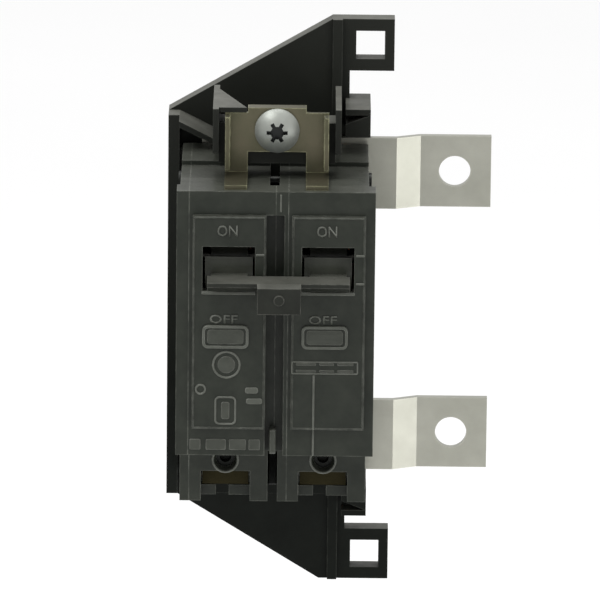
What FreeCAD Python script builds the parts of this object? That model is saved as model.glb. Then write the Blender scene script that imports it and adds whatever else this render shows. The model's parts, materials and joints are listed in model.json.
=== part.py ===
import FreeCAD, Part
import math
import os
import re
import Sketcher

# Two-pole main circuit breaker on a moulded carrier, in millimetres.
# +X is to the right and +Z up as the breaker is read; its face looks along -Y.
# The origin is the centre of the carrier's flat back. "Depth" is the distance in
# front of that back, so a point at depth d has y = -d.

DIMENSIONS = [
    # alias, value, what it is
    # carrier plate and ears
    ("carrier_half", 76.2, "half height of the carrier"),
    ("carrier_left", 28.5, "left edge, from the centre line"),
    ("slant_low", 51.4, "height where the slanted edge starts"),
    ("slant_end", 14.2, "x where the slanted edge meets the top"),
    ("foot_end", 11.9, "x where the lower slanted edge meets the foot"),
    ("ear_right", 30.3, "right edge of the ears"),
    ("ear_low", 62.4, "lower edge of the upper ear"),
    ("neck_right", 18.7, "right edge of the neck between ear and pillar"),
    ("pillar_right", 24.2, "right edge of the carrier beside the case"),
    ("pillar_top", 55.0, "top of the corner pillar"),
    ("pillar_low", 47.6, "foot of the corner pillar"),
    ("pillar_front", 18.3, "depth of the pillar's front"),
    ("pillar_step", 13.0, "depth of the pillar's recessed corner"),
    ("plate", 5.3, "thickness of the carrier plate"),
    ("back_pocket", 2.9, "depth of the lightening pockets in the back"),
    ("ear_hole", 7.5, "side of the square ear hole"),
    ("ear_hole_x", 24.05, "centre of the ear hole"),
    ("ear_hole_z", 69.3, "centre of the ear hole"),
    ("pillar_notch", 3.4, "height of the notch at the pillar's inner foot"),
    ("pocket_left", 20.0, "left side of the back pockets"),
    ("pocket_right", 12.2, "x where the pockets' slant meets their top"),
    ("pocket_low", 49.4, "foot of the back pockets"),
    ("pocket_slant", 53.2, "height where the pockets' slant starts"),
    ("pocket_top", 71.9, "top of the back pockets"),
    ("rib_right", 16.7, "right side of the long rib"),
    ("rib_front", 6.6, "depth of the long rib's front"),
    ("side_wall", 2.9, "thickness of the left wall"),
    ("side_wall_front", 11.3, "depth of the left wall's front"),
    ("web", 1.5, "thickness of the carrier's webs and tower walls"),
    ("web_drop", 1.6, "height of the slanted web's outer end"),
    # tower that carries the hold-down screw
    ("tower_in", 15.0, "inner face of the tower walls"),
    ("tower_front", 45.0, "depth of the tower walls' front"),
    ("tower_top", 61.2, "top of the tower walls"),
    ("tower_root", 52.0, "height of the tower walls at the plate"),
    ("tower_low", 45.3, "foot of the tower walls, over case and straps"),
    ("tower_chin", 49.6, "height where the tower walls' front ends"),
    ("tower_chin_depth", 28.0, "depth where the chin meets the foot"),
    ("anvil_back", 33.0, "depth of the back of the screw anvil"),
    ("anvil_low", 46.3, "foot of the anvil"),
    ("anvil_top", 57.0, "top of the anvil"),
    ("boss_half", 7.0, "half width of the raised boss on the anvil"),
    ("boss_top", 59.0, "top of that boss"),
    ("gusset_inner", 7.8, "inner corner of the triangular tower lid"),
    ("gusset_back", 18.0, "depth of the lid's back corner"),
    ("lid", 1.2, "thickness of the lid"),
    # hold-down bracket, screw and nut
    ("bracket_half", 13.3, "half width of the bracket"),
    ("bracket_back", 41.8, "depth of the bracket's back"),
    ("sheet", 1.2, "thickness of the bracket's steel"),
    ("bracket_top", 59.9, "top of the bracket's shoulders"),
    ("tongue_half", 7.5, "half width of tongue and window"),
    ("tongue_bend", 2.2, "how far the tongue's top bends back"),
    ("window_top", 49.6, "top of the window between the legs"),
    ("leg_front", 57.0, "depth of the feet's front"),
    ("rim_reach", 4.0, "how far the bracket's side rims stand forward"),
    ("rim_low", 45.6, "lower end of the side rims"),
    ("rim_top", 59.5, "upper end of the side rims"),
    ("screw_z", 55.3, "height of the hold-down screw"),
    ("screw_shank", 2.4, "radius of its shank"),
    ("screw_head", 5.75, "radius of its head"),
    ("head_rise", 3.4, "height of its head"),
    ("head_dome", 7.5, "radius of the head's dome"),
    ("recess_core", 1.7, "radius of the star recess"),
    ("recess_reach", 2.7, "reach of the star's points"),
    ("recess_slot", 1.0, "width of the star's points"),
    ("recess_floor", 2.2, "depth of the recess"),
    ("screw_tip", 29.5, "depth of the screw's tip"),
    ("nut_half", 4.0, "half the side of the square nut"),
    ("nut_thick", 3.0, "thickness of the nut"),
    ("fit", 0.05, "radial clearance of pins, screws and trunnions"),
    ("slack", 0.2, "clearance of loose fits"),
    ("over", 1.0, "how far a cutting or joining shape runs past a face"),
    # case of one pole, x measured from the pole's centre
    ("pole_pitch", 25.4, "distance between pole centres"),
    ("case_back", 9.6, "depth of the case's back"),
    ("case_left", 11.9, "left side of the case"),
    ("case_right", 11.0, "right side of the case"),
    ("seam", 9.5, "left of centre where cover meets base"),
    ("wall", 2.0, "wall thickness of the case"),
    ("case_top", 43.6, "top of the case's rear shelf"),
    ("shelf_front", 29.0, "depth where the rear shelf ends"),
    ("waist_top", 42.4, "top of the case between shelf and shoulder"),
    ("shoulder_back", 45.0, "depth where the shoulder starts"),
    ("shoulder_top", 43.0, "top of the shoulder and of the flange"),
    ("case_bottom", 45.4, "bottom of the lug section"),
    ("lug_front", 38.0, "depth of the lug section's front"),
    ("flange_half", 12.7, "half width of the front flange"),
    ("flange_back", 52.0, "depth of the flange's back"),
    ("flange_low", 27.0, "lower edge of the flange"),
    ("face", 58.8, "depth of the flange face"),
    ("panel_face", 60.3, "depth of the raised panel"),
    ("panel_left", 8.5, "left edge of the panel"),
    ("panel_right", 10.2, "right edge of the panel"),
    ("panel_top", 36.8, "top edge of the panel"),
    ("panel_low", 19.6, "lower edge of the panel"),
    ("cavity_front", 57.0, "depth of the cavity's front wall"),
    ("cavity_back", 11.6, "depth of the cavity's back wall"),
    ("cavity_top", 40.9, "top of the cavity"),
    ("cavity_low", 25.0, "floor of the cavity"),
    ("slot_left", 6.0, "left end of the handle slot"),
    ("slot_right", 7.4, "right end of the handle slot"),
    ("slot_low", 17.1, "lower edge of the handle slot"),
    ("slot_high", 28.8, "upper edge of the handle slot"),
    ("flag_half", 5.5, "half width of the raised flag under the slot"),
    ("flag_low", 2.5, "lower edge of the flag"),
    ("flag_high", 7.7, "upper edge of the flag"),
    ("flag_rise", 0.5, "how far the flag stands out"),
    ("channel_left", 2.5, "left side of the channel between the panels"),
    ("channel_right", 2.2, "right side of that channel"),
    ("channel_floor", 54.5, "depth of its floor"),
    # handles and their tie
    ("pivot_depth", 44.0, "depth of the handle's pivot"),
    ("pivot_z", 22.3, "height of the handle's pivot"),
    ("handle_pin", 1.5, "radius of the handle pin"),
    ("hub", 4.5, "radius of the handle's hub"),
    ("blade_rise", 2.7, "blade's top above the pivot, inside"),
    ("blade_sink", 3.15, "blade's underside below the pivot, inside"),
    ("blade_left", 3.9, "left side of the handle blade"),
    ("blade_right", 5.5, "right side of the handle blade"),
    ("blade_top", 20.8, "top of the blade at rest"),
    ("blade_tip", 65.0, "depth of the blade's tip"),
    ("blade_root", 1.8, "thickness of the blade at the slot"),
    ("blade_end", 1.3, "thickness of the blade at its tip"),
    ("skirt_out", 12.6, "outer radius of the dust skirt"),
    ("skirt_in", 11.0, "inner radius of the dust skirt"),
    ("skirt_left", 5.4, "left side of the skirt"),
    ("skirt_right", 6.8, "right side of the skirt"),
    ("skirt_span", 16.0, "length of the wedge that bounds the skirt"),
    ("skirt_drop", 10.8, "drop of the wedge's lower side"),
    ("skirt_lift", 3.7, "rise of the wedge's upper side"),
    ("crank_back", 2.0, "blade trunnion behind the handle pivot"),
    ("crank_up", 6.0, "blade trunnion above the handle pivot"),
    ("cheek_in", 2.4, "inner face of the crank cheeks"),
    ("cheek_out", 4.2, "outer face of the crank cheeks"),
    ("cheek_foot", 4.05, "cheek's foot behind the pivot"),
    ("cheek_toe", 3.15, "cheek's foot in front of the pivot"),
    ("cheek_foot_z", 1.2, "rear foot above the pivot"),
    ("cheek_toe_z", 2.2, "front foot above the pivot"),
    ("cheek_head", 1.7, "cheek above the trunnion"),
    ("cheek_tail", 2.0, "cheek behind the trunnion"),
    ("tie_left", 17.4, "left end of the tie bar"),
    ("tie_right", 19.0, "right end of the tie bar"),
    ("tie_back", 62.1, "depth of the tie bar's back"),
    ("tie_front", 69.8, "depth of the tie bar's front"),
    ("tie_top", 21.6, "top of the tie bar"),
    ("tie_edge", 1.1, "thickness of the tie bar's front edge"),
    ("tie_belly", 2.9, "thickness of the tie bar at its back"),
    ("tie_bevel", 3.3, "reach of the bevel under its front"),
    ("grip_left", 4.6, "left side of the centre grip"),
    ("grip_right", 6.5, "right side of the centre grip"),
    ("grip_front", 72.1, "depth of the grip's front"),
    ("grip_drop", 7.5, "height of the grip below the bar's top"),
    ("grip_bevel", 0.7, "fall of the grip's front bevel"),
    ("grip_heel", 0.8, "rise of the grip's underside at the back"),
    ("grip_belly", 0.4, "fall of the underside's lowest edge"),
    ("grip_flat", 6.0, "that edge behind the grip's front"),
    ("nub", 1.3, "radius of the nub on the grip"),
    ("nub_rise", 0.5, "how far the nub stands out"),
    # contact blade, contacts and line terminal
    ("trunnion", 1.0, "radius of the blade's trunnion"),
    ("arm_eye", 1.4, "radius of the blade round its trunnion"),
    ("arm_half", 2.0, "half width of the contact blade"),
    ("arm_thick", 2.0, "thickness of the contact blade"),
    ("arm_reach", 24.28, "trunnion to contact centre"),
    ("arm_tail", 2.5, "blade beyond the contact centre"),
    ("arm_tilt", 19.0, "rise of the open blade, degrees"),
    ("contact_half", 2.0, "half side of a contact"),
    ("contact_thick", 1.2, "thickness of a contact"),
    ("fixed_depth", 15.5, "depth of the fixed contact's centre"),
    ("strap_thick", 1.2, "thickness of the inner copper straps"),
    ("terminal_low", 25.0, "underside of the line terminal's shelf"),
    ("terminal_top", 42.8, "top of the line terminal's tab"),
    ("terminal_half", 5.5, "half width of that tab"),
    ("shelf_half", 4.0, "half width of the shelf and the load strap"),
    ("shelf_end", 20.5, "depth of the shelf's end"),
    # arc chute
    ("arc_plates", 5, "number of arc plates"),
    ("arc_low", 30.5, "height of the lowest arc plate"),
    ("arc_pitch", 2.0, "pitch of the arc plates"),
    ("arc_thick", 0.9, "thickness of an arc plate"),
    ("arc_half", 7.2, "half width of an arc plate"),
    ("arc_back", 11.8, "depth of the plates' back"),
    ("arc_front", 23.0, "depth of the plates' front"),
    ("arc_slot", 3.4, "half width of the plates' slot"),
    ("arc_bridge", 1.0, "depth of the bridge behind the slot"),
    ("arc_cheek", 1.0, "thickness of the fibre cheeks"),
    ("arc_skirt", 0.6, "cheeks below the lowest plate"),
    # trip mechanism
    ("cradle_depth", 22.0, "depth of the cradle's pivot"),
    ("cradle_drop", 2.0, "pivot below the centre line"),
    ("cradle_pin", 1.5, "radius of the cradle pin"),
    ("cradle_half", 1.2, "half thickness of the cradle"),
    ("cradle_tip", 22.0, "pivot to the cradle's tip"),
    ("cradle_eye", 2.8, "radius of the cradle round its pin"),
    ("cradle_back", 1.4, "cradle's top above the pivot at the spring"),
    ("tip_high", 0.8, "tip's top below the pivot"),
    ("tip_low", 3.2, "tip's underside below the pivot"),
    ("spring_depth", 33.0, "depth of the toggle spring"),
    ("spring_radius", 1.8, "radius of the spring's coils"),
    ("spring_wire", 0.35, "radius of the spring's wire"),
    ("spring_pitch", 2.0, "pitch of the spring's coils"),
    ("spring_low", 1.6, "lower end of the spring"),
    ("spring_length", 26.0, "length of the spring"),
    ("armature_depth", 45.5, "depth of the armature's rod and plate"),
    ("armature_drop", 20.5, "the rod below the centre line"),
    ("armature_rod", 1.2, "radius of the armature's rod"),
    ("armature_half", 4.5, "half width of the armature"),
    ("armature_top", 1.2, "its top below the centre line"),
    ("armature_plate", 1.0, "its thickness"),
    ("latch_reach", 0.8, "how far its latch ledge stands back"),
    ("latch_high", 0.2, "ledge's top below the armature's top"),
    ("latch_low", 1.4, "ledge's underside below the armature's top"),
    ("yoke_half", 6.0, "half width of the magnet yoke"),
    ("yoke_web", 1.4, "thickness of its web"),
    ("yoke_pole", 1.2, "thickness of its pole plates"),
    ("yoke_back", 48.6, "depth of the yoke's pole faces"),
    ("yoke_front", 56.0, "depth of the yoke's front"),
    ("yoke_low", 18.0, "pole faces' foot below the centre line"),
    ("yoke_top", 3.0, "yoke's top below the centre line"),
    ("bimetal_depth", 51.5, "depth of the bimetal"),
    ("bimetal_half", 3.2, "half width of the bimetal"),
    ("bimetal_thick", 1.0, "thickness of the bimetal"),
    ("bimetal_top", 1.5, "top of the bimetal"),
    ("trip_depth", 50.0, "depth of the trip bar"),
    ("trip_z", 6.0, "height of the trip bar"),
    ("trip_bar", 2.0, "radius of the trip bar"),
    ("paddle_half", 2.2, "half width of a trip paddle"),
    ("paddle_back", 46.7, "depth of a paddle's back"),
    ("paddle_drop", 2.8, "paddle's foot below the centre line"),
    ("paddle_thick", 1.3, "thickness of a paddle"),
    ("paddle_neck", 3.0, "top of the paddle's back below the bar's centre"),
    ("paddle_root", 1.2, "half height of the paddle's root in the bar"),
    ("blind", 1.2, "depth of the pins' blind holes"),
    # load end
    ("load_top", 23.6, "load strap's top below the centre line"),
    ("load_back", 20.4, "depth of the load strap's back"),
    ("load_end", 44.0, "load strap's end below the centre line"),
    ("chamber_half", 6.4, "half width of the lug chamber"),
    ("chamber_back", 14.0, "depth of the lug chamber's back"),
    ("chamber_front", 36.0, "depth of the lug chamber's front wall"),
    ("chamber_top", 31.0, "chamber's roof below the centre line"),
    ("apron_low", 37.3, "lower edge of the wall with the funnel"),
    ("funnel_z", 34.2, "funnel below the centre line"),
    ("funnel_mouth", 3.0, "radius of the funnel's mouth"),
    ("funnel_throat", 2.4, "radius of the funnel's throat"),
    ("lip_back", 30.9, "depth of the wire lips' back"),
    ("lip_front", 33.6, "depth of the wire lips' front"),
    ("lip_high", 42.3, "lips' top below the centre line"),
    ("lip_low", 45.0, "lips' foot below the centre line"),
    ("lip_left", 2.5, "left lip's inner end"),
    ("lip_right", 0.9, "right lip's inner end"),
    ("lug_half", 6.0, "half width of the lug"),
    ("lug_back", 21.6, "depth of the lug's back"),
    ("lug_face", 33.8, "depth of the lug's front"),
    ("lug_top", 31.2, "lug's top below the centre line"),
    ("lug_low", 42.0, "lug's foot below the centre line"),
    ("wire_depth", 27.0, "depth of the wire bore"),
    ("wire_bore", 3.5, "radius of the wire bore"),
    ("set_screw", 2.7, "radius of the set screw"),
    ("set_tip", 30.6, "depth of the set screw's tip"),
    ("set_end", 35.2, "depth of the set screw's socket end"),
    ("socket", 1.5, "radius of the socket"),
    ("socket_deep", 2.4, "depth of the socket"),
    # bus straps and their bolts
    ("bus_z", 35.55, "height of the straps' centre lines"),
    ("bus_half", 9.525, "half height of a strap"),
    ("bus_thick", 2.0, "thickness of a strap"),
    ("bus_in", 6.3, "depth of the straps' back behind the case"),
    ("bus_out", 3.3, "depth of the straps' back outside"),
    ("jog_start", 31.2, "x where the jog starts"),
    ("jog_end", 37.5, "x where the jog ends"),
    ("bus_end", 56.0, "x of the straps' ends"),
    ("bus_hole_x", 46.5, "x of the straps' bolt holes"),
    ("bus_hole", 4.15, "radius of those holes"),
    ("bus_start", 4.7, "x where the upper strap starts"),
    ("riser_half", 7.0, "half width of the lower strap's riser"),
    ("line_bolt", 2.5, "radius of the line bolts"),
    ("line_head", 4.4, "radius of their heads"),
    ("line_seat", 3.3, "depth of the heads' seat"),
    ("line_head_back", 0.8, "depth of the heads' back"),
    ("line_socket", 1.75, "radius of the sockets in the heads"),
    # rivets
    ("rivet", 1.6, "radius of a rivet"),
    ("rivet_head", 2.7, "radius of a rivet's head"),
    ("rivet_rise", 0.8, "height of a rivet's head"),
]

# Depth and height of each rivet through the two poles.
RIVETS = {"upper_front": ("48.5", "38"), "upper_rear": ("31", "38.6"),
          "middle": ("14", "5"), "lower": ("36", "-20")}

# Pads on the carrier's plate: two x, the depth of the front and two heights.
PADS = {"edge": ("side_wall - carrier_left", "-20.2", "case_back", "-44", "42"),
        "centre": ("-4", "20", "case_back", "-22", "22"),
        "riser": ("-17", "-8", "bus_in", "-40", "41"),
        "upper_strap": ("8", "22", "bus_in", "30", "41"),
        "lower_strap": ("-4", "22", "bus_in", "-41", "-30"),
        "ledge": ("-18", "18", "14", "-50.4", "-(case_bottom + slack)")}

# Centre of each pole along x.
POLES = {"left": "-pole_pitch / 2", "right": "pole_pitch / 2"}

# Runs of the flexible braid: x from the pole's centre, depth and height.
BRAID_POINTS = [(3.2, 32.0, 27.0), (7.8, 33.0, 18.0), (7.8, 40.0, 2.0), (7.05, 52.0, -10.0)]
BRAID_RADIUS = 0.9

VALUES = {alias: value for alias, value, meaning in DIMENSIONS}
FORWARD = FreeCAD.Vector(0, -1, 0)

doc = FreeCAD.newDocument("main_breaker")
subparts = []


def write_sheet():
    """Put the driving dimensions in the spreadsheet, one alias a row."""
    sheet = doc.addObject("Spreadsheet::Sheet", "Dims")
    for row, (alias, value, meaning) in enumerate(DIMENSIONS, start=1):
        sheet.set(f"A{row}", alias)
        sheet.set(f"B{row}", str(value))
        sheet.set(f"C{row}", meaning)
        sheet.setAlias(f"B{row}", alias)
    doc.recompute()


def formula(text):
    """An expression over the sheet's aliases, as FreeCAD writes it."""
    return re.sub(r"[a-z]\w*", lambda word: "Dims." + word.group(0), text)


def bind(item, prop, text):
    item.setExpression(prop, formula(text))


def shift(pole, text):
    """An x measured from a pole's centre, as an x of the whole part."""
    return f"{POLES[pole]} + ({text})"


# ---------------------------------------------------------------- primitives

def block(name, xs, depths, zs):
    """Box between two x, two depths and two heights."""
    box = doc.addObject("Part::Box", name)
    bind(box, "Length", f"({xs[1]}) - ({xs[0]})")
    bind(box, "Width", f"({depths[1]}) - ({depths[0]})")
    bind(box, "Height", f"({zs[1]}) - ({zs[0]})")
    bind(box, "Placement.Base.x", xs[0])
    bind(box, "Placement.Base.y", f"-({depths[1]})")
    bind(box, "Placement.Base.z", zs[0])
    return box


def pole_block(pole, name, xs, depths, zs):
    """Box whose two x are measured from a pole's centre."""
    return block(f"{pole}_{name}", (shift(pole, xs[0]), shift(pole, xs[1])), depths, zs)


def cross_rod(name, xs, depth, z, radius):
    """Cylinder along x."""
    rod = doc.addObject("Part::Cylinder", name)
    rod.Placement.Rotation = FreeCAD.Rotation(FreeCAD.Vector(0, 1, 0), 90)
    bind(rod, "Radius", radius)
    bind(rod, "Height", f"({xs[1]}) - ({xs[0]})")
    bind(rod, "Placement.Base.x", xs[0])
    bind(rod, "Placement.Base.y", f"-({depth})")
    bind(rod, "Placement.Base.z", z)
    return rod


def face_on(item, x, depth, z):
    """Turn a round primitive's axis forward and set its rear end."""
    item.Placement.Rotation = FreeCAD.Rotation(FreeCAD.Vector(1, 0, 0), 90)
    bind(item, "Placement.Base.x", x)
    bind(item, "Placement.Base.y", f"-({depth})")
    bind(item, "Placement.Base.z", z)


def face_rod(name, x, z, depths, radius):
    """Cylinder whose axis points forward."""
    rod = doc.addObject("Part::Cylinder", name)
    bind(rod, "Radius", radius)
    bind(rod, "Height", f"({depths[1]}) - ({depths[0]})")
    face_on(rod, x, depths[0], z)
    return rod


def upright_rod(name, x, depth, zs, radius):
    """Cylinder along z."""
    rod = doc.addObject("Part::Cylinder", name)
    bind(rod, "Radius", radius)
    bind(rod, "Height", f"({zs[1]}) - ({zs[0]})")
    bind(rod, "Placement.Base.x", x)
    bind(rod, "Placement.Base.y", f"-({depth})")
    bind(rod, "Placement.Base.z", zs[0])
    return rod


def origin_plane(body, role):
    return next(f for f in body.Origin.OriginFeatures if f.Role == role)


def value_of(text):
    """Value of an expression, to draw a sketch near its final shape."""
    return float(doc.Dims.evalExpression(formula(text)))


def prism(name, role, points, start, end):
    """Body padded from an outline of expression pairs, between two offsets along the plane's normal."""
    body = doc.addObject("PartDesign::Body", name)
    sketch = body.newObject("Sketcher::SketchObject", name + "_outline")
    sketch.AttachmentSupport = [(origin_plane(body, role), "")]
    sketch.MapMode = "FlatFace"
    bind(sketch, "AttachmentOffset.Base.z", start)
    corners = [FreeCAD.Vector(value_of(a), value_of(b), 0) for a, b in points]
    count = len(corners)
    for i in range(count):
        sketch.addGeometry(Part.LineSegment(corners[i], corners[(i + 1) % count]), False)
    for i in range(count):
        sketch.addConstraint(Sketcher.Constraint("Coincident", i, 2, (i + 1) % count, 1))
    for i, (a, b) in enumerate(points):
        across = sketch.addConstraint(Sketcher.Constraint("DistanceX", -1, 1, i, 1, corners[i].x))
        along = sketch.addConstraint(Sketcher.Constraint("DistanceY", -1, 1, i, 1, corners[i].y))
        bind(sketch, f"Constraints[{across}]", a)
        bind(sketch, f"Constraints[{along}]", b)
    pad = body.newObject("PartDesign::Pad", name + "_pad")
    pad.Profile = sketch
    bind(pad, "Length", f"({end}) - ({start})")
    return body


def front_prism(name, points, depths):
    """Prism with an (x, z) outline, between two depths."""
    return prism(name, "XZ_Plane", points, depths[0], depths[1])


def side_prism(name, points, xs):
    """Prism with a (depth, z) outline, between two x."""
    outline = [(f"-({depth})", z) for depth, z in points]
    return prism(name, "YZ_Plane", outline, xs[0], xs[1])


def top_prism(name, points, zs):
    """Prism with an (x, depth) outline, between two heights."""
    outline = [(x, f"-({depth})") for x, depth in points]
    return prism(name, "XY_Plane", outline, zs[0], zs[1])


def fuse(name, pieces):
    joined = doc.addObject("Part::MultiFuse", name)
    joined.Shapes = pieces
    joined.Refine = True
    return joined


def cut(name, base, tools):
    if len(tools) > 1:
        tool = fuse(name + "_tools", tools)
    else:
        tool = tools[0]
    result = doc.addObject("Part::Cut", name)
    result.Base = base
    result.Tool = tool
    result.Refine = True
    return result


def keep(label, item):
    """Make an object a sub-part: its label names its file."""
    item.Label = label
    subparts.append(item)
    return item


def mirror_low(points):
    """The same outline below the centre line, in the same turning sense."""
    return [(x, f"-({z})") for x, z in reversed(points)]


# ---------------------------------------------------------------- carrier

def carrier_outline():
    def half(end):
        return [("-carrier_left", "slant_low"), (end, "carrier_half"), ("ear_right", "carrier_half"),
                ("ear_right", "ear_low"), ("neck_right", "ear_low"), ("neck_right", "pillar_top"),
                ("pillar_right", "pillar_top")]
    return half("slant_end") + mirror_low(half("foot_end"))


def carrier_end(end, sign):
    """Rib, pillar, ear hole and back pocket of one end: sign is "" for the top and "-" below."""
    def heights(low, high):
        if sign:
            return (f"-({high})", f"-({low})")
        return (low, high)

    def outline(points):
        return mirror_low(points) if sign else points

    solids = [
        block(f"{end}_rib", ("slant_end", "rib_right"), ("plate", "rib_front"),
              heights("pillar_low", "carrier_half")),
        block(f"{end}_pillar", ("neck_right - over", "pillar_right"), ("plate", "pillar_step"),
              heights("pillar_low", "pillar_top")),
        block(f"{end}_pillar_lid", ("neck_right - over", "pillar_right"), ("plate", "pillar_front"),
              heights("pillar_top - web", "pillar_top")),
        front_prism(f"{end}_pillar_corner",
                    outline([("neck_right - over", "pillar_low"),
                             ("neck_right - over", "pillar_low + pillar_notch"),
                             ("pillar_right", "pillar_top - web"), ("pillar_right", "pillar_low")]),
                    ("plate", "pillar_front")),
    ]
    hole_x = ("ear_hole_x - ear_hole / 2", "ear_hole_x + ear_hole / 2")
    pocket = [("-pocket_left", "pocket_low"), ("-pocket_left", "pocket_slant"),
              ("pocket_right", "pocket_top"), ("pocket_right", "pocket_low")]
    holes = [
        block(f"{end}_ear_hole", hole_x, ("-over", "plate + over"),
              heights("ear_hole_z - ear_hole / 2", "ear_hole_z + ear_hole / 2")),
        front_prism(f"{end}_back_pocket", outline(pocket), ("-over", "back_pocket")),
    ]
    return solids, holes


def tower():
    """Two walls, an anvil with a boss, and the triangular lid."""
    side = [("plate", "tower_low"), ("tower_chin_depth", "tower_low"), ("tower_front", "tower_chin"),
            ("tower_front", "tower_top"), ("gusset_back", "tower_top"), ("plate", "tower_root")]
    anvil_depths = ("anvil_back", "bracket_back")
    lid = [("-(tower_in + web)", "gusset_back"), ("-gusset_inner", "bracket_back + sheet"),
           ("-(tower_in + web)", "bracket_back + sheet")]
    return [
        side_prism("tower_left", side, ("-(tower_in + web)", "-tower_in")),
        side_prism("tower_right", side, ("tower_in", "tower_in + web")),
        block("anvil", ("-tower_in", "tower_in"), anvil_depths, ("anvil_low", "anvil_top")),
        block("anvil_boss", ("-boss_half", "boss_half"), anvil_depths, ("anvil_top - over", "boss_top")),
        top_prism("tower_lid", lid, ("tower_top - lid", "tower_top")),
    ]


def carrier_walls():
    """Left wall, slanted web, and the pads under the straps and case."""
    web = [("side_wall - carrier_left", "slant_low - web_drop"), ("side_wall - carrier_left", "slant_low"),
           ("-tower_in - web", "tower_low + web"), ("-tower_in - web", "tower_low")]
    walls = [
        block("side_wall", ("-carrier_left", "side_wall - carrier_left"), ("plate", "side_wall_front"),
              ("-slant_low", "slant_low")),
        front_prism("slanted_web", web, ("plate", "pillar_front")),
    ]
    for name, (left, right, front, low, high) in PADS.items():
        walls.append(block(f"{name}_pad", (left, right), ("plate", front), (low, high)))
    return walls


def make_carrier():
    plate = front_prism("carrier_plate", carrier_outline(), ("0", "plate"))
    top_solids, top_holes = carrier_end("top", "")
    low_solids, low_holes = carrier_end("low", "-")
    body = fuse("carrier_body", [plate] + top_solids + low_solids + tower() + carrier_walls())
    nut_side = "nut_half + slack"
    holes = top_holes + low_holes + [
        face_rod("anvil_hole", "0", "screw_z", ("anvil_back - over", "bracket_back + over"),
                 "screw_shank + fit"),
        block("nut_pocket", (f"-({nut_side})", nut_side), ("anvil_back - over", "anvil_back + nut_thick"),
              (f"screw_z - ({nut_side})", "boss_top + over")),
    ]
    for pole in POLES:
        holes.append(face_rod(f"{pole}_line_hole", POLES[pole], "bus_z", ("-over", "bus_in + over"),
                              "line_bolt + slack"))
        holes.append(face_rod(f"{pole}_line_counterbore", POLES[pole], "bus_z", ("-over", "line_seat"),
                              "line_head + slack"))
    keep("carrier", cut("carrier", body, holes))


# ---------------------------------------------------------------- hold-down

def make_bracket():
    """Shoulder plate with a bent tongue, side rims and two feet."""
    sheet_depths = ("bracket_back", "bracket_back + sheet")
    plate = block("bracket_plate", ("-bracket_half", "bracket_half"), sheet_depths,
                  ("shoulder_top", "bracket_top"))
    window = block("bracket_window", ("-tongue_half", "tongue_half"),
                   ("bracket_back - over", "bracket_back + sheet + over"),
                   ("shoulder_top - over", "window_top"))
    pieces = [
        cut("bracket_shoulders", plate, [window]),
        block("bracket_tongue", ("-tongue_half", "tongue_half"), sheet_depths,
              ("bracket_top", "tower_top")),
        block("bracket_bend", ("-tongue_half", "tongue_half"),
              ("bracket_back - tongue_bend", "bracket_back + sheet"), ("tower_top - sheet", "tower_top")),
    ]
    sides = {"left": ("-bracket_half", "-tongue_half", "-bracket_half", "sheet - bracket_half"),
             "right": ("tongue_half", "bracket_half", "bracket_half - sheet", "bracket_half")}
    for side, (foot_left, foot_right, rim_left, rim_right) in sides.items():
        pieces.append(block(f"bracket_foot_{side}", (foot_left, foot_right),
                            ("bracket_back", "leg_front"), ("shoulder_top", "shoulder_top + sheet")))
        pieces.append(block(f"bracket_rim_{side}", (rim_left, rim_right),
                            ("bracket_back", "bracket_back + sheet + rim_reach"),
                            ("rim_low", "rim_top")))
    body = fuse("bracket_body", pieces)
    hole = face_rod("bracket_hole", "0", "screw_z", ("bracket_back - over", "bracket_back + sheet + over"),
                    "screw_shank + slack")
    keep("hold_down_bracket", cut("hold_down_bracket", body, [hole]))


def make_hold_down_screw():
    """Domed screw with a six-pointed recess."""
    seat = "bracket_back + sheet"
    blank = face_rod("screw_blank", "0", "screw_z", (seat, f"{seat} + head_rise"), "screw_head")
    dome = doc.addObject("Part::Sphere", "screw_dome")
    bind(dome, "Radius", "head_dome")
    face_on(dome, "0", f"{seat} + head_rise - head_dome", "screw_z")
    head = doc.addObject("Part::Common", "screw_domed_head")
    head.Base = blank
    head.Tool = dome
    shank = face_rod("screw_shank_rod", "0", "screw_z", ("screw_tip", f"{seat} + slack"), "screw_shank")
    floor = f"{seat} + head_rise - recess_floor"
    recess = [face_rod("recess_core_hole", "0", "screw_z", (floor, f"{seat} + head_rise + over"),
                       "recess_core")]
    for turn in (0, 60, 120):
        point = block(f"recess_point_{turn}", ("-recess_reach", "recess_reach"),
                      (floor, f"{seat} + head_rise + over"), ("-recess_slot / 2", "recess_slot / 2"))
        # each point pair lies across the screw's axis, turned about it
        point.Placement.Rotation = FreeCAD.Rotation(FORWARD, turn)
        angle = math.radians(turn)
        across, rise = math.cos(angle), math.sin(angle)
        bind(point, "Placement.Base.x", f"-recess_reach * {across} - recess_slot / 2 * {-rise}")
        bind(point, "Placement.Base.z", f"screw_z - recess_reach * {rise} - recess_slot / 2 * {across}")
        recess.append(point)
    keep("hold_down_screw", cut("hold_down_screw", fuse("screw_body", [head, shank]), recess))


def make_hold_down_nut():
    nut = block("nut_blank", ("-nut_half", "nut_half"), ("anvil_back", "anvil_back + nut_thick"),
                ("screw_z - nut_half", "screw_z + nut_half"))
    hole = face_rod("nut_hole", "0", "screw_z", ("anvil_back - over", "anvil_back + nut_thick + over"),
                    "screw_shank + fit")
    keep("hold_down_nut", cut("hold_down_nut", nut, [hole]))


# ---------------------------------------------------------------- case

def case_profile():
    """Side view of a pole without its front flange."""
    return [("case_back", "-case_bottom"), ("lug_front", "-case_bottom"), ("lug_front", "-flange_low"),
            ("face", "-flange_low"), ("face", "shoulder_top"), ("shoulder_back", "shoulder_top"),
            ("shoulder_back", "waist_top"), ("shelf_front", "waist_top"), ("shelf_front", "case_top"),
            ("case_back", "case_top")]


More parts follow.
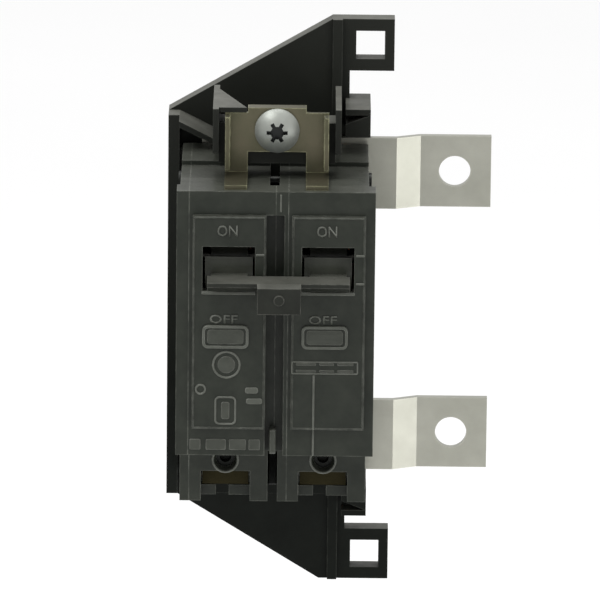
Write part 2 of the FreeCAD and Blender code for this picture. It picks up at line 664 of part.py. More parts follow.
def pin_holes(pole, name, xs, bar_xs):
    """Holes for the pins, the armature rod, the trip bar and the rivets of one pole."""
    holes = [
        cross_rod(f"{pole}_{name}_handle_hole", xs, "pivot_depth", "pivot_z", "handle_pin + fit"),
        cross_rod(f"{pole}_{name}_cradle_hole", xs, "cradle_depth", "-cradle_drop", "cradle_pin + fit"),
        cross_rod(f"{pole}_{name}_armature_hole", xs, "armature_depth", "-armature_drop",
                  "armature_rod + fit"),
        cross_rod(f"{pole}_{name}_trip_hole", bar_xs, "trip_depth", "trip_z", "trip_bar + fit"),
    ]
    through = (shift(pole, "-flange_half - over"), shift(pole, "flange_half + over"))
    for place, (depth, z) in RIVETS.items():
        holes.append(cross_rod(f"{pole}_{name}_{place}_rivet_hole", through, depth, z, "rivet + fit"))
    return holes


def channel(name):
    """Recess between the two raised panels, open to the front and below."""
    return block(name, ("-channel_left", "channel_right"), ("channel_floor", "face + over"),
                 ("-flange_low - over", "panel_top"))


def make_base(pole):
    """Deep half: front panel with its slot, cavity for the mechanism and lug chamber."""
    solids = [
        side_prism(f"{pole}_base_case", case_profile(), (shift(pole, "-seam"), shift(pole, "case_right"))),
        pole_block(pole, "base_flange", ("-seam", "flange_half"), ("flange_back", "face"),
                   ("-flange_low", "shoulder_top")),
        pole_block(pole, "panel", ("-panel_left", "panel_right"), ("face - over", "panel_face"),
                   ("-panel_low", "panel_top")),
        pole_block(pole, "flag", ("-flag_half", "flag_half"), ("panel_face - over", "panel_face + flag_rise"),
                   ("flag_low", "flag_high")),
    ]
    hollows = [
        pole_block(pole, "cavity", ("-seam - over", "case_right - wall"), ("cavity_back", "cavity_front"),
                   ("-cavity_low", "cavity_top")),
        pole_block(pole, "handle_slot", ("-slot_left", "slot_right"),
                   ("cavity_front - over", "panel_face + over"), ("slot_low", "slot_high")),
        pole_block(pole, "lug_chamber", ("-chamber_half", "chamber_half"), ("chamber_back", "chamber_front"),
                   ("-case_bottom - over", "-chamber_top")),
        pole_block(pole, "wire_mouth", ("-chamber_half", "chamber_half"),
                   ("chamber_front - over", "lug_front + over"), ("-case_bottom - over", "-apron_low")),
        pole_block(pole, "terminal_slot", ("-shelf_half - slack", "shelf_half + slack"),
                   ("case_back - over", "cavity_back + over"),
                   ("terminal_low - slack", "terminal_low + strap_thick + slack")),
        pole_block(pole, "load_slot", ("-shelf_half - slack", "shelf_half + slack"),
                   ("load_back - slack", "load_back + strap_thick + slack"),
                   ("-chamber_top - over", "over - cavity_low")),
        face_rod(f"{pole}_driver_hole", POLES[pole], "-funnel_z",
                 ("chamber_front - over", "lug_front + over"), "funnel_throat"),
    ]
    funnel = doc.addObject("Part::Cone", f"{pole}_funnel")
    bind(funnel, "Radius1", "funnel_throat")
    bind(funnel, "Radius2", "funnel_mouth")
    bind(funnel, "Height", "lug_front - chamber_front")
    face_on(funnel, POLES[pole], "chamber_front", "-funnel_z")
    hollows.append(funnel)
    inner = (shift(pole, "case_right - wall - over"), shift(pole, "case_right - wall + blind"))
    bar_end = "case_right + over" if pole == "left" else "case_right - wall + blind"
    hollows += pin_holes(pole, "base", inner, (inner[0], shift(pole, bar_end)))
    if pole == "left":
        hollows.append(channel("base_channel"))
    shell = cut(f"{pole}_shell", fuse(f"{pole}_base_body", solids), hollows)
    lips = [
        pole_block(pole, "lip_left", ("-chamber_half - slack", "-lip_left"), ("lip_back", "lip_front"),
                   ("-lip_low", "-lip_high")),
        pole_block(pole, "lip_right", ("lip_right", "chamber_half + slack"), ("lip_back", "lip_front"),
                   ("-lip_low", "-lip_high")),
    ]
    keep(f"{pole}_pole_base", fuse(f"{pole}_pole_base", [shell] + lips))


def make_cover(pole):
    """Flat half that closes the cavity on its left."""
    plate = side_prism(f"{pole}_cover_plate", case_profile(),
                       (shift(pole, "-case_left"), shift(pole, "-seam")))
    flange = pole_block(pole, "cover_flange", ("-flange_half", "-seam"), ("flange_back", "face"),
                        ("-flange_low", "shoulder_top"))
    inner = (shift(pole, "-seam - blind"), shift(pole, "over - seam"))
    bar_start = "-seam - blind" if pole == "left" else "-case_left - over"
    holes = pin_holes(pole, "cover", inner, (shift(pole, bar_start), inner[1]))
    if pole == "right":
        holes.append(channel("cover_channel"))
    keep(f"{pole}_pole_cover", cut(f"{pole}_pole_cover", fuse(f"{pole}_cover_body", [plate, flange]), holes))


def make_rivets():
    """Four long rivets, headed on the outer sides of the two poles."""
    left_face = shift("left", "-case_left")
    right_face = shift("right", "case_right")
    rivets = []
    for place, (depth, z) in RIVETS.items():
        shank = cross_rod(f"{place}_shank", (left_face, right_face), depth, z, "rivet")
        heads = [
            cross_rod(f"{place}_head_left", (f"{left_face} - rivet_rise", left_face), depth, z,
                      "rivet_head"),
            cross_rod(f"{place}_head_right", (right_face, f"{right_face} + rivet_rise"), depth, z,
                      "rivet_head"),
        ]
        rivets.append(fuse(f"{place}_rivet", [shank] + heads))
    group = doc.addObject("Part::Compound", "case_rivets")
    group.Links = rivets
    keep("case_rivets", group)


# ---------------------------------------------------------------- handles

def make_handle(pole):
    """Hub, blade, dust skirt and the two cheeks of the crank."""
    blade_xs = (shift(pole, "-blade_left"), shift(pole, "blade_right"))
    skirt_xs = (shift(pole, "-skirt_left"), shift(pole, "skirt_right"))
    hub = cross_rod(f"{pole}_hub", blade_xs, "pivot_depth", "pivot_z", "hub")
    blade = side_prism(f"{pole}_blade", [
        ("pivot_depth", "pivot_z + blade_rise"), ("pivot_depth + skirt_in", "blade_top"),
        ("blade_tip", "blade_top"), ("blade_tip", "blade_top - blade_end"),
        ("cavity_front", "blade_top - blade_root"), ("pivot_depth", "pivot_z - blade_sink")], blade_xs)
    ring = cut(f"{pole}_skirt_ring",
               cross_rod(f"{pole}_skirt_disc", skirt_xs, "pivot_depth", "pivot_z", "skirt_out"),
               [cross_rod(f"{pole}_skirt_core", skirt_xs, "pivot_depth", "pivot_z", "skirt_in")])
    wedge = side_prism(f"{pole}_skirt_wedge", [
        ("pivot_depth", "pivot_z"), ("pivot_depth + skirt_span", "pivot_z - skirt_drop"),
        ("pivot_depth + skirt_span", "pivot_z + skirt_lift")], skirt_xs)
    skirt = doc.addObject("Part::Common", f"{pole}_skirt")
    skirt.Base = ring
    skirt.Tool = wedge
    cheek_top = "pivot_z + crank_up + cheek_head"
    cheek = [("pivot_depth - cheek_foot", "pivot_z + cheek_foot_z"),
             ("pivot_depth + cheek_toe", "pivot_z + cheek_toe_z"),
             ("pivot_depth", cheek_top), ("pivot_depth - crank_back - cheek_tail", cheek_top)]
    solids = [hub, blade, skirt]
    for side, xs in (("left", ("-cheek_out", "-cheek_in")), ("right", ("cheek_in", "cheek_out"))):
        solids.append(side_prism(f"{pole}_cheek_{side}", cheek, (shift(pole, xs[0]), shift(pole, xs[1]))))
    trunnion_xs = (shift(pole, "-cheek_out - over"), shift(pole, "cheek_out + over"))
    pin_xs = (shift(pole, "-skirt_left - over"), shift(pole, "skirt_right + over"))
    holes = [
        cross_rod(f"{pole}_hub_bore", pin_xs, "pivot_depth", "pivot_z", "handle_pin + fit"),
        cross_rod(f"{pole}_trunnion_hole", trunnion_xs, "pivot_depth - crank_back", "pivot_z + crank_up",
                  "trunnion + fit"),
    ]
    keep(f"{pole}_handle", cut(f"{pole}_handle", fuse(f"{pole}_handle_body", solids), holes))


def make_cross_pin(pole, name, depth, z, radius):
    """Pin held in the blind holes of cover and base."""
    xs = (shift(pole, "-seam - blind + slack"), shift(pole, "case_right - wall + blind - slack"))
    keep(f"{pole}_{name}", cross_rod(f"{pole}_{name}", xs, depth, z, radius))


def make_handle_tie():
    """Bar over both blades with a grip in the middle."""
    bar = side_prism("tie_bar", [
        ("tie_back", "tie_top - tie_belly"), ("tie_back", "tie_top"), ("tie_front", "tie_top"),
        ("tie_front", "tie_top - tie_edge"), ("tie_front - tie_bevel", "tie_top - tie_belly")],
        ("-tie_left", "tie_right"))
    grip = side_prism("tie_grip", [
        ("tie_back", "tie_top - grip_drop + grip_heel"), ("tie_back", "tie_top"), ("tie_front", "tie_top"),
        ("grip_front", "tie_top - grip_bevel"), ("grip_front", "tie_top - grip_drop"),
        ("grip_front - grip_flat", "tie_top - grip_drop - grip_belly")], ("-grip_left", "grip_right"))
    nub = face_rod("grip_nub", "(grip_right - grip_left) / 2", "tie_top - grip_drop / 2",
                   ("grip_front - over", "grip_front + nub_rise"), "nub")
    pockets = []
    for pole in POLES:
        pockets.append(pole_block(pole, "tie_pocket", ("-blade_left - slack / 2", "blade_right + slack / 2"),
                                  ("tie_back - over", "blade_tip + slack"),
                                  ("blade_top - blade_root - slack / 2", "blade_top + slack / 2")))
    keep("handle_tie", cut("handle_tie", fuse("tie_body", [bar, grip, nub]), pockets))


# ---------------------------------------------------------------- contacts

def place_arm(item, pole):
    """Put a piece drawn round the blade's trunnion at the trunnion, tilted open."""
    item.Placement.Rotation = FreeCAD.Rotation(FreeCAD.Vector(1, 0, 0), VALUES["arm_tilt"])
    bind(item, "Placement.Base.x", POLES[pole])
    bind(item, "Placement.Base.y", "-(pivot_depth - crank_back)")
    bind(item, "Placement.Base.z", "pivot_z + crank_up")


def make_contact_arm(pole):
    """Blade with an eye and a cross trunnion; it is drawn along +Y and then tilted."""
    strip = block(f"{pole}_arm_strip", ("-arm_half", "arm_half"), ("-arm_reach - arm_tail", "0"),
                  ("-arm_thick / 2", "arm_thick / 2"))
    eye = cross_rod(f"{pole}_arm_eye", ("-arm_half", "arm_half"), "0", "0", "arm_eye")
    trunnion = cross_rod(f"{pole}_arm_trunnion", ("-cheek_out", "cheek_out"), "0", "0", "trunnion")
    arm = fuse(f"{pole}_contact_arm", [strip, eye, trunnion])
    place_arm(arm, pole)
    keep(f"{pole}_contact_arm", arm)
    tip = block(f"{pole}_contact_blank", ("-contact_half", "contact_half"),
                ("-arm_reach - contact_half", "contact_half - arm_reach"),
                ("-arm_thick / 2 - contact_thick", "-arm_thick / 2"))
    # the contact is its own piece, brazed under the blade's end
    holder = doc.addObject("Part::Compound", f"{pole}_moving_contact")
    holder.Links = [tip]
    place_arm(holder, pole)
    keep(f"{pole}_moving_contact", holder)


def make_line_terminal(pole):
    """Tab behind the case and the shelf that carries the fixed contact."""
    tab = pole_block(pole, "line_tab", ("-terminal_half", "terminal_half"),
                     ("bus_in + bus_thick", "case_back"), ("terminal_low", "terminal_top"))
    shelf = pole_block(pole, "line_shelf", ("-shelf_half", "shelf_half"),
                       ("bus_in + bus_thick", "shelf_end"), ("terminal_low", "terminal_low + strap_thick"))
    hole = face_rod(f"{pole}_tab_hole", POLES[pole], "bus_z", ("bus_in", "case_back + over"),
                    "line_bolt + fit")
    terminal = cut(f"{pole}_line_terminal", fuse(f"{pole}_line_body", [tab, shelf]), [hole])
    keep(f"{pole}_line_terminal", terminal)
    contact_low = "terminal_low + strap_thick"
    keep(f"{pole}_fixed_contact", pole_block(
        pole, "fixed_contact", ("-contact_half", "contact_half"),
        ("fixed_depth - contact_half", "fixed_depth + contact_half"),
        (contact_low, f"{contact_low} + contact_thick")))


def make_arc_chute(pole):
    """Stack of slotted plates between two fibre cheeks."""
    plates = []
    for level in range(int(VALUES["arc_plates"])):
        low = f"arc_low + {level} * arc_pitch"
        plate = pole_block(pole, f"arc_blank_{level}", ("-arc_half", "arc_half"), ("arc_back", "arc_front"),
                           (low, f"{low} + arc_thick"))
        slot = pole_block(pole, f"arc_slot_{level}", ("-arc_slot", "arc_slot"),
                          ("arc_back + arc_bridge", "arc_front + over"),
                          (f"{low} - over", f"{low} + arc_thick + over"))
        plates.append(cut(f"{pole}_arc_plate_{level}", plate, [slot]))
    stack = doc.addObject("Part::Compound", f"{pole}_arc_plates")
    stack.Links = plates
    keep(f"{pole}_arc_plates", stack)
    heights = ("arc_low - arc_skirt", "cavity_top - slack")
    cheeks = doc.addObject("Part::Compound", f"{pole}_arc_frame")
    cheeks.Links = [
        pole_block(pole, "arc_cheek_left", ("-arc_half - arc_cheek", "-arc_half"),
                   ("arc_back", "arc_front"), heights),
        pole_block(pole, "arc_cheek_right", ("arc_half", "arc_half + arc_cheek"),
                   ("arc_back", "arc_front"), heights),
    ]
    keep(f"{pole}_arc_frame", cheeks)


# ---------------------------------------------------------------- trip mechanism

def make_cradle(pole):
    """Trip lever from its pin to the latch tip."""
    xs = (shift(pole, "-cradle_half"), shift(pole, "cradle_half"))
    pivot_z = "-cradle_drop"
    lever = side_prism(f"{pole}_cradle_lever", [
        ("cradle_depth", f"{pivot_z} - cradle_eye"),
        ("cradle_depth + cradle_tip", f"{pivot_z} - tip_low"),
        ("cradle_depth + cradle_tip", f"{pivot_z} - tip_high"),
        ("spring_depth", f"{pivot_z} + cradle_back"), ("cradle_depth", f"{pivot_z} + cradle_eye")], xs)
    eye = cross_rod(f"{pole}_cradle_eye", xs, "cradle_depth", pivot_z, "cradle_eye")
    bore = cross_rod(f"{pole}_cradle_bore", (f"{xs[0]} - over", f"{xs[1]} + over"), "cradle_depth", pivot_z,
                     "cradle_pin + fit")
    keep(f"{pole}_cradle", cut(f"{pole}_cradle", fuse(f"{pole}_cradle_body", [lever, eye]), [bore]))


def make_toggle_spring(pole):
    """Extension spring between the blade and the cradle."""
    helix = Part.makeHelix(VALUES["spring_pitch"], VALUES["spring_length"], VALUES["spring_radius"])
    start = FreeCAD.Vector(VALUES["spring_radius"], 0, 0)
    wire = Part.Wire([Part.makeCircle(VALUES["spring_wire"], start, FreeCAD.Vector(0, 1, 0))])
    coil = doc.addObject("Part::Feature", f"{pole}_toggle_spring")
    coil.Shape = Part.Wire(helix.Edges).makePipeShell([wire], True, True)
    bind(coil, "Placement.Base.x", POLES[pole])
    bind(coil, "Placement.Base.y", "-spring_depth")
    bind(coil, "Placement.Base.z", "spring_low")
    keep(f"{pole}_toggle_spring", coil)


def make_armature(pole):
    """Magnetic trip plate on its cross rod, with the latch ledge."""
    plate_back = "armature_depth - armature_plate / 2"
    solids = [
        pole_block(pole, "armature_blank", ("-armature_half", "armature_half"),
                   (plate_back, "armature_depth + armature_plate / 2"), ("-armature_drop", "-armature_top")),
        pole_block(pole, "latch_ledge", ("-cradle_half", "cradle_half"),
                   (f"{plate_back} - latch_reach", "armature_depth"),
                   ("-armature_top - latch_low", "-armature_top - latch_high")),
        cross_rod(f"{pole}_armature_rod", (shift(pole, "-seam - blind + slack"),
                                           shift(pole, "case_right - wall + blind - slack")),
                  "armature_depth", "-armature_drop", "armature_rod"),
    ]
    keep(f"{pole}_armature", fuse(f"{pole}_armature", solids))


def make_yoke(pole):
    """U-shaped magnet yoke that stands on the load strap."""
    solids = [pole_block(pole, "yoke_web", ("-yoke_half", "yoke_half"),
                         ("yoke_front - yoke_web", "yoke_front"), ("-load_top", "-yoke_top"))]
    for side, xs in (("left", ("-yoke_half", "yoke_pole - yoke_half")),
                     ("right", ("yoke_half - yoke_pole", "yoke_half"))):
        solids.append(pole_block(pole, f"yoke_pole_{side}", xs, ("yoke_back", "yoke_front - over"),
                                 ("-yoke_low", "-yoke_top")))
    keep(f"{pole}_magnet_yoke", fuse(f"{pole}_magnet_yoke", solids))


def make_bimetal(pole):
    depths = ("bimetal_depth - bimetal_thick / 2", "bimetal_depth + bimetal_thick / 2")
    keep(f"{pole}_bimetal", pole_block(pole, "bimetal", ("-bimetal_half", "bimetal_half"), depths,
                                       ("-load_top", "bimetal_top")))


def make_trip_bar():
    """Bar through both poles with a paddle in front of each armature."""
    bar = cross_rod("trip_shaft", (shift("left", "-seam - blind + slack"),
                                   shift("right", "case_right - wall + blind - slack")),
                    "trip_depth", "trip_z", "trip_bar")
    solids = [bar]
    for pole in POLES:
        paddle = [("paddle_back", "-paddle_drop"), ("paddle_back + paddle_thick", "-paddle_drop"),
                  ("trip_depth + paddle_thick / 2", "trip_z - paddle_root"),
                  ("trip_depth - paddle_thick / 2", "trip_z + paddle_root"),
                  ("paddle_back", "trip_z - paddle_neck")]
        solids.append(side_prism(f"{pole}_paddle", paddle,
                                 (shift(pole, "-paddle_half"), shift(pole, "paddle_half"))))
    keep("trip_bar", fuse("trip_bar_body", solids))


def make_braid(pole):
    """Flexible braid as straight runs with round joints."""
    centre = VALUES["pole_pitch"] / 2 * (-1 if pole == "left" else 1)
    points = [FreeCAD.Vector(centre + x, -depth, z) for x, depth, z in BRAID_POINTS]
    runs = []
    for start, end in zip(points, points[1:]):
        run = end - start
        runs.append(Part.makeCylinder(BRAID_RADIUS, run.Length, start, run))
    joints = [Part.makeSphere(BRAID_RADIUS, point) for point in points[1:-1]]
    braid = doc.addObject("Part::Feature", f"{pole}_braid")
    braid.Shape = runs[0].multiFuse(runs[1:] + joints).removeSplitter()
    keep(f"{pole}_braid", braid)


# ---------------------------------------------------------------- load end

def make_load_terminal(pole):
    """Strap under the bimetal that runs down behind the lug."""
    floor = pole_block(pole, "load_floor", ("-shelf_half", "shelf_half"), ("load_back", "yoke_front"),
                       ("-load_top - strap_thick", "-load_top"))
    drop = pole_block(pole, "load_drop", ("-shelf_half", "shelf_half"),
                      ("load_back", "load_back + strap_thick"), ("-load_end", "-load_top"))
    keep(f"{pole}_load_terminal", fuse(f"{pole}_load_terminal", [floor, drop]))


def make_lug(pole):
    """Aluminium lug with a wire bore from below and a tapped hole from the front."""
    blank = pole_block(pole, "lug_blank", ("-lug_half", "lug_half"), ("lug_back", "lug_face"),
                       ("-lug_low", "-lug_top"))
    bore = upright_rod(f"{pole}_wire_bore", POLES[pole], "wire_depth", ("-lug_low - over", "over - lug_top"),
                       "wire_bore")
    tapped = face_rod(f"{pole}_tapped_hole", POLES[pole], "-funnel_z", ("wire_depth", "lug_face + over"),
                      "set_screw + fit")
    keep(f"{pole}_lug", cut(f"{pole}_lug", blank, [bore, tapped]))


def make_lug_screw(pole):
    """Socket set screw that clamps the wire."""
    blank = face_rod(f"{pole}_set_screw", POLES[pole], "-funnel_z", ("set_tip", "set_end"), "set_screw")
    socket = face_rod(f"{pole}_socket", POLES[pole], "-funnel_z",
                      ("set_end - socket_deep", "set_end + over"), "socket")
    keep(f"{pole}_lug_screw", cut(f"{pole}_lug_screw", blank, [socket]))


# ---------------------------------------------------------------- bus straps

def strap_end(name, zs):
    """Jog and outer plate of a strap, with its bolt hole still to be cut."""
    jog = top_prism(f"{name}_jog", [
        ("jog_start", "bus_in"), ("jog_end", "bus_out"), ("jog_end", "bus_out + bus_thick"),
        ("jog_start", "bus_in + bus_thick")], zs)
    plate = block(f"{name}_plate", ("jog_end", "bus_end"), ("bus_out", "bus_out + bus_thick"), zs)
    return [jog, plate]


def make_bus_straps():
    """Upper strap from the right pole; lower strap from the left pole, down behind the case."""
    inner_depths = ("bus_in", "bus_in + bus_thick")
    upper_zs = ("bus_z - bus_half", "bus_z + bus_half")
    lower_zs = ("-bus_z - bus_half", "bus_half - bus_z")
    upper_inner = block("upper_inner", ("bus_start", "jog_start"), inner_depths, upper_zs)
    riser_left = shift("left", "-riser_half")
    riser_right = shift("left", "riser_half")
    lower_inner = front_prism("lower_inner", [
        (riser_left, "bus_z + bus_half"), (riser_right, "bus_z + bus_half"), (riser_right, lower_zs[1]),
        ("jog_start", lower_zs[1]), ("jog_start", lower_zs[0]), (riser_left, lower_zs[0])], inner_depths)
    straps = {"upper": (upper_inner, upper_zs, "bus_z", "right"),
              "lower": (lower_inner, lower_zs, "-bus_z", "left")}
    for name, (inner, zs, hole_z, pole) in straps.items():
        body = fuse(f"{name}_strap_body", [inner] + strap_end(name, zs))
        holes = [
            face_rod(f"{name}_bus_hole", "bus_hole_x", hole_z, ("0", "bus_in + bus_thick"), "bus_hole"),
            face_rod(f"{name}_terminal_hole", POLES[pole], "bus_z",
                     ("bus_in - over", "bus_in + bus_thick + over"), "line_bolt + slack"),
        ]
        keep(f"{name}_bus_strap", cut(f"{name}_bus_strap", body, holes))


def make_line_bolts():
    """Two bolts from the carrier's back into the line terminals."""
    bolts = []
    for pole in POLES:
        head = face_rod(f"{pole}_line_head", POLES[pole], "bus_z", ("line_head_back", "line_seat"),
                        "line_head")
        shank = face_rod(f"{pole}_line_shank", POLES[pole], "bus_z",
                         ("line_seat - over", "case_back - slack"), "line_bolt")
        socket = face_rod(f"{pole}_line_socket", POLES[pole], "bus_z", ("0", "line_seat - over"),
                          "line_socket")
        bolts.append(cut(f"{pole}_line_bolt", fuse(f"{pole}_line_bolt_body", [head, shank]), [socket]))
    group = doc.addObject("Part::Compound", "line_bolts")
    group.Links = bolts
    keep("line_bolts", group)


# ---------------------------------------------------------------- document

def check_document():
    """Stop if a feature failed or a sub-part has no valid solid."""
    failed = [item.Name for item in doc.Objects if "Invalid" in item.State or "Error" in item.State]
    if failed:
        raise RuntimeError(f"features failed: {failed}")
    for item in subparts:
        shape = item.Shape
        if shape.isNull() or not shape.isValid() or shape.Volume <= 0:
            raise RuntimeError(f"{item.Label} has no valid shape")


def build():
    write_sheet()
    make_carrier()
    make_bracket()
    make_hold_down_screw()
    make_hold_down_nut()
    make_bus_straps()
    make_line_bolts()
    make_rivets()
    make_handle_tie()
    make_trip_bar()
    for pole in POLES:
        make_base(pole)
        make_cover(pole)
        make_handle(pole)
        make_cross_pin(pole, "handle_pin", "pivot_depth", "pivot_z", "handle_pin")
        make_cross_pin(pole, "cradle_pin", "cradle_depth", "-cradle_drop", "cradle_pin")
        make_contact_arm(pole)
        make_line_terminal(pole)
        make_arc_chute(pole)
        make_cradle(pole)
        make_toggle_spring(pole)
        make_armature(pole)
        make_yoke(pole)
        make_bimetal(pole)
        make_braid(pole)
        make_load_terminal(pole)
        make_lug(pole)
        make_lug_screw(pole)
    doc.recompute()
    check_document()


build()
os.makedirs("parts", exist_ok=True)
for item in subparts:
    item.Shape.exportStep(f"parts/{item.Label}.step")
print(len(subparts), "sub-parts written")
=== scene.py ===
import json
import math

import bmesh
import bpy
from mathutils import Matrix, Vector


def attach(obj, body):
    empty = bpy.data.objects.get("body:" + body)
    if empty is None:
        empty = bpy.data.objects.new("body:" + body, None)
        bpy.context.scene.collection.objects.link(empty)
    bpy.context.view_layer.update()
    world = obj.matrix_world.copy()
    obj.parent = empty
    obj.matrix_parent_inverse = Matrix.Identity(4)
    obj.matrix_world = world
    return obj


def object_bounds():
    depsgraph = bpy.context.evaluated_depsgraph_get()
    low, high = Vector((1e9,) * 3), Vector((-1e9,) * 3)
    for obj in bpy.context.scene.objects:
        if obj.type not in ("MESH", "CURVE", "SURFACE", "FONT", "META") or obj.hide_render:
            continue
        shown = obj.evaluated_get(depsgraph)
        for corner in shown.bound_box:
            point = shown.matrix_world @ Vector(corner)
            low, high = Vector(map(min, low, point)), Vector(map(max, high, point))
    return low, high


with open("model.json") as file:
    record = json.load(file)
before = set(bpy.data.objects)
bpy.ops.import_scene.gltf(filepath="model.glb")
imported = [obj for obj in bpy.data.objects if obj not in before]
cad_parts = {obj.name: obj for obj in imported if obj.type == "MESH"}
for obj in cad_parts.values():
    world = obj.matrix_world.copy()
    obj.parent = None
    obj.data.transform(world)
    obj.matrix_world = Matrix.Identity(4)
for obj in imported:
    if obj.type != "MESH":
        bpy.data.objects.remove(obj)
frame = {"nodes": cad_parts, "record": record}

CAD_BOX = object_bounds()
MM = 0.001
POLES = ("left", "right")
POLE_CENTRE = {"left": -12.7, "right": 12.7}   # x in millimetres

# sockets of Blender's Mix node in colour mode
MIX_FACTOR = 0
MIX_FIRST = 6
MIX_SECOND = 7
MIX_RESULT = 2


# ---------------------------------------------------------------- node helpers

def new_material(name):
    """New material, with its node tree and its Principled shader."""
    material = bpy.data.materials.new(name)
    material.use_nodes = True
    tree = material.node_tree
    shader = tree.nodes["Principled BSDF"]
    return material, tree, shader


def add(tree, kind, **values):
    """Add a node; values name its inputs or its properties."""
    node = tree.nodes.new(kind)
    for key, value in values.items():
        if hasattr(node, key):
            setattr(node, key, value)
        else:
            node.inputs[key.replace("_", " ")].default_value = value
    return node


def link(tree, source, output, target, socket):
    """Join an output of one node to an input of another."""
    tree.links.new(source.outputs[output], target.inputs[socket])


def ramp(tree, source, output, stops):
    """Colour ramp with (position, grey) stops."""
    node = tree.nodes.new("ShaderNodeValToRGB")
    elements = node.color_ramp.elements
    while len(elements) < len(stops):
        elements.new(0.5)
    for element, (position, grey) in zip(elements, stops):
        element.position = position
        element.color = (grey, grey, grey, 1)
    link(tree, source, output, node, "Fac")
    return node


def place_coords(tree, stretch=(1, 1, 1)):
    """Object coordinates, stretched along the axes."""
    coords = tree.nodes.new("ShaderNodeTexCoord")
    mapping = tree.nodes.new("ShaderNodeMapping")
    mapping.inputs["Scale"].default_value = stretch
    link(tree, coords, "Object", mapping, "Vector")
    return mapping


def noise(tree, coords, scale, detail=3.0, roughness=0.55):
    """Noise texture; scale is in cells per metre."""
    node = add(tree, "ShaderNodeTexNoise", Scale=scale, Detail=detail, Roughness=roughness)
    link(tree, coords, "Vector", node, "Vector")
    return node


def blend_colour(tree, factor, factor_output, first, second):
    """Mix two colours, or a node's colour and a colour, by a factor."""
    node = tree.nodes.new("ShaderNodeMix")
    node.data_type = "RGBA"
    link(tree, factor, factor_output, node, MIX_FACTOR)
    for socket, value in ((MIX_FIRST, first), (MIX_SECOND, second)):
        if isinstance(value, tuple):
            node.inputs[socket].default_value = (*value, 1)
        else:
            tree.links.new(value.outputs[value_output(value)], node.inputs[socket])
    return node


def value_output(node):
    """Socket that holds a node's colour."""
    return MIX_RESULT if node.bl_idname == "ShaderNodeMix" else "Color"


def edge_wear_and_highlight_mask(tree, radius, coords, low, high):
    """White along convex and concave edges, broken up by noise."""
    rounded = add(tree, "ShaderNodeBevel", samples=4, Radius=radius)
    geometry = tree.nodes.new("ShaderNodeNewGeometry")
    dot = add(tree, "ShaderNodeVectorMath", operation="DOT_PRODUCT")
    link(tree, rounded, "Normal", dot, 0)
    link(tree, geometry, "Normal", dot, 1)
    worn_and_highlit = add(tree, "ShaderNodeMapRange")
    worn_and_highlit.inputs["From Min"].default_value = high
    worn_and_highlit.inputs["From Max"].default_value = low
    link(tree, dot, "Value", worn_and_highlit, "Value")
    patches = ramp(tree, noise(tree, coords, 380.0), "Fac", ((0.38, 0.25), (0.66, 1.0)))
    product = add(tree, "ShaderNodeMath", operation="MULTIPLY")
    link(tree, worn_and_highlit, "Result", product, 0)
    link(tree, patches, "Color", product, 1)
    return product


def height_mask(tree):
    """From 0 below the middle to 1 at the top of the part."""
    coords = tree.nodes.new("ShaderNodeTexCoord")
    split = tree.nodes.new("ShaderNodeSeparateXYZ")
    link(tree, coords, "Object", split, "Vector")
    rise = add(tree, "ShaderNodeMapRange")
    rise.inputs["From Min"].default_value = -0.02
    rise.inputs["From Max"].default_value = 0.05
    link(tree, split, "Z", rise, "Value")
    return rise


def recess_shade_mask(tree, centre_z, radius, shallow, deep):
    """White inside a round recess that faces forward, between two depths in metres."""
    coords = tree.nodes.new("ShaderNodeTexCoord")
    offset = add(tree, "ShaderNodeVectorMath", operation="SUBTRACT")
    offset.inputs[1].default_value = (0, 0, centre_z)
    link(tree, coords, "Object", offset, 0)
    split = tree.nodes.new("ShaderNodeSeparateXYZ")
    link(tree, offset, "Vector", split, "Vector")
    flat = add(tree, "ShaderNodeVectorMath", operation="MULTIPLY")
    flat.inputs[1].default_value = (1, 0, 1)
    link(tree, offset, "Vector", flat, 0)
    reach = add(tree, "ShaderNodeVectorMath", operation="LENGTH")
    link(tree, flat, "Vector", reach, 0)
    tests = ((reach, "Value", "LESS_THAN", radius), (split, "Y", "GREATER_THAN", -shallow),
             (split, "Y", "LESS_THAN", -deep))
    mask = None
    for source, output, operation, limit in tests:
        test = add(tree, "ShaderNodeMath", operation=operation)
        link(tree, source, output, test, 0)
        test.inputs[1].default_value = limit
        if mask:
            both = add(tree, "ShaderNodeMath", operation="MULTIPLY")
            link(tree, mask, "Value", both, 0)
            link(tree, test, "Value", both, 1)
            mask = both
        else:
            mask = test
    return mask


def dust_and_top_light_mask(tree, coords, amount):
    """Dust on what faces up, in soft patches; partly painted light, standing in for the stronger light on
    up-facing faces.
    """
    geometry = tree.nodes.new("ShaderNodeNewGeometry")
    split = tree.nodes.new("ShaderNodeSeparateXYZ")
    link(tree, geometry, "Normal", split, "Vector")
    up = add(tree, "ShaderNodeMapRange")
    up.inputs["From Min"].default_value = 0.35
    up.inputs["From Max"].default_value = 0.95
    up.inputs["To Max"].default_value = amount
    link(tree, split, "Z", up, "Value")
    patches = ramp(tree, noise(tree, coords, 120.0, 4.0), "Fac", ((0.3, 0.55), (0.7, 1.0)))
    product = add(tree, "ShaderNodeMath", operation="MULTIPLY")
    link(tree, up, "Result", product, 0)
    link(tree, patches, "Color", product, 1)
    return product


def bump(tree, shader, layers):
    """Stack bump layers of (node, output, strength, depth in metres)."""
    previous = None
    for source, output, strength, depth in layers:
        node = add(tree, "ShaderNodeBump", Strength=strength, Distance=depth)
        link(tree, source, output, node, "Height")
        if previous:
            link(tree, previous, "Normal", node, "Normal")
        previous = node
    link(tree, previous, "Normal", shader, "Normal")


# ---------------------------------------------------------------- materials

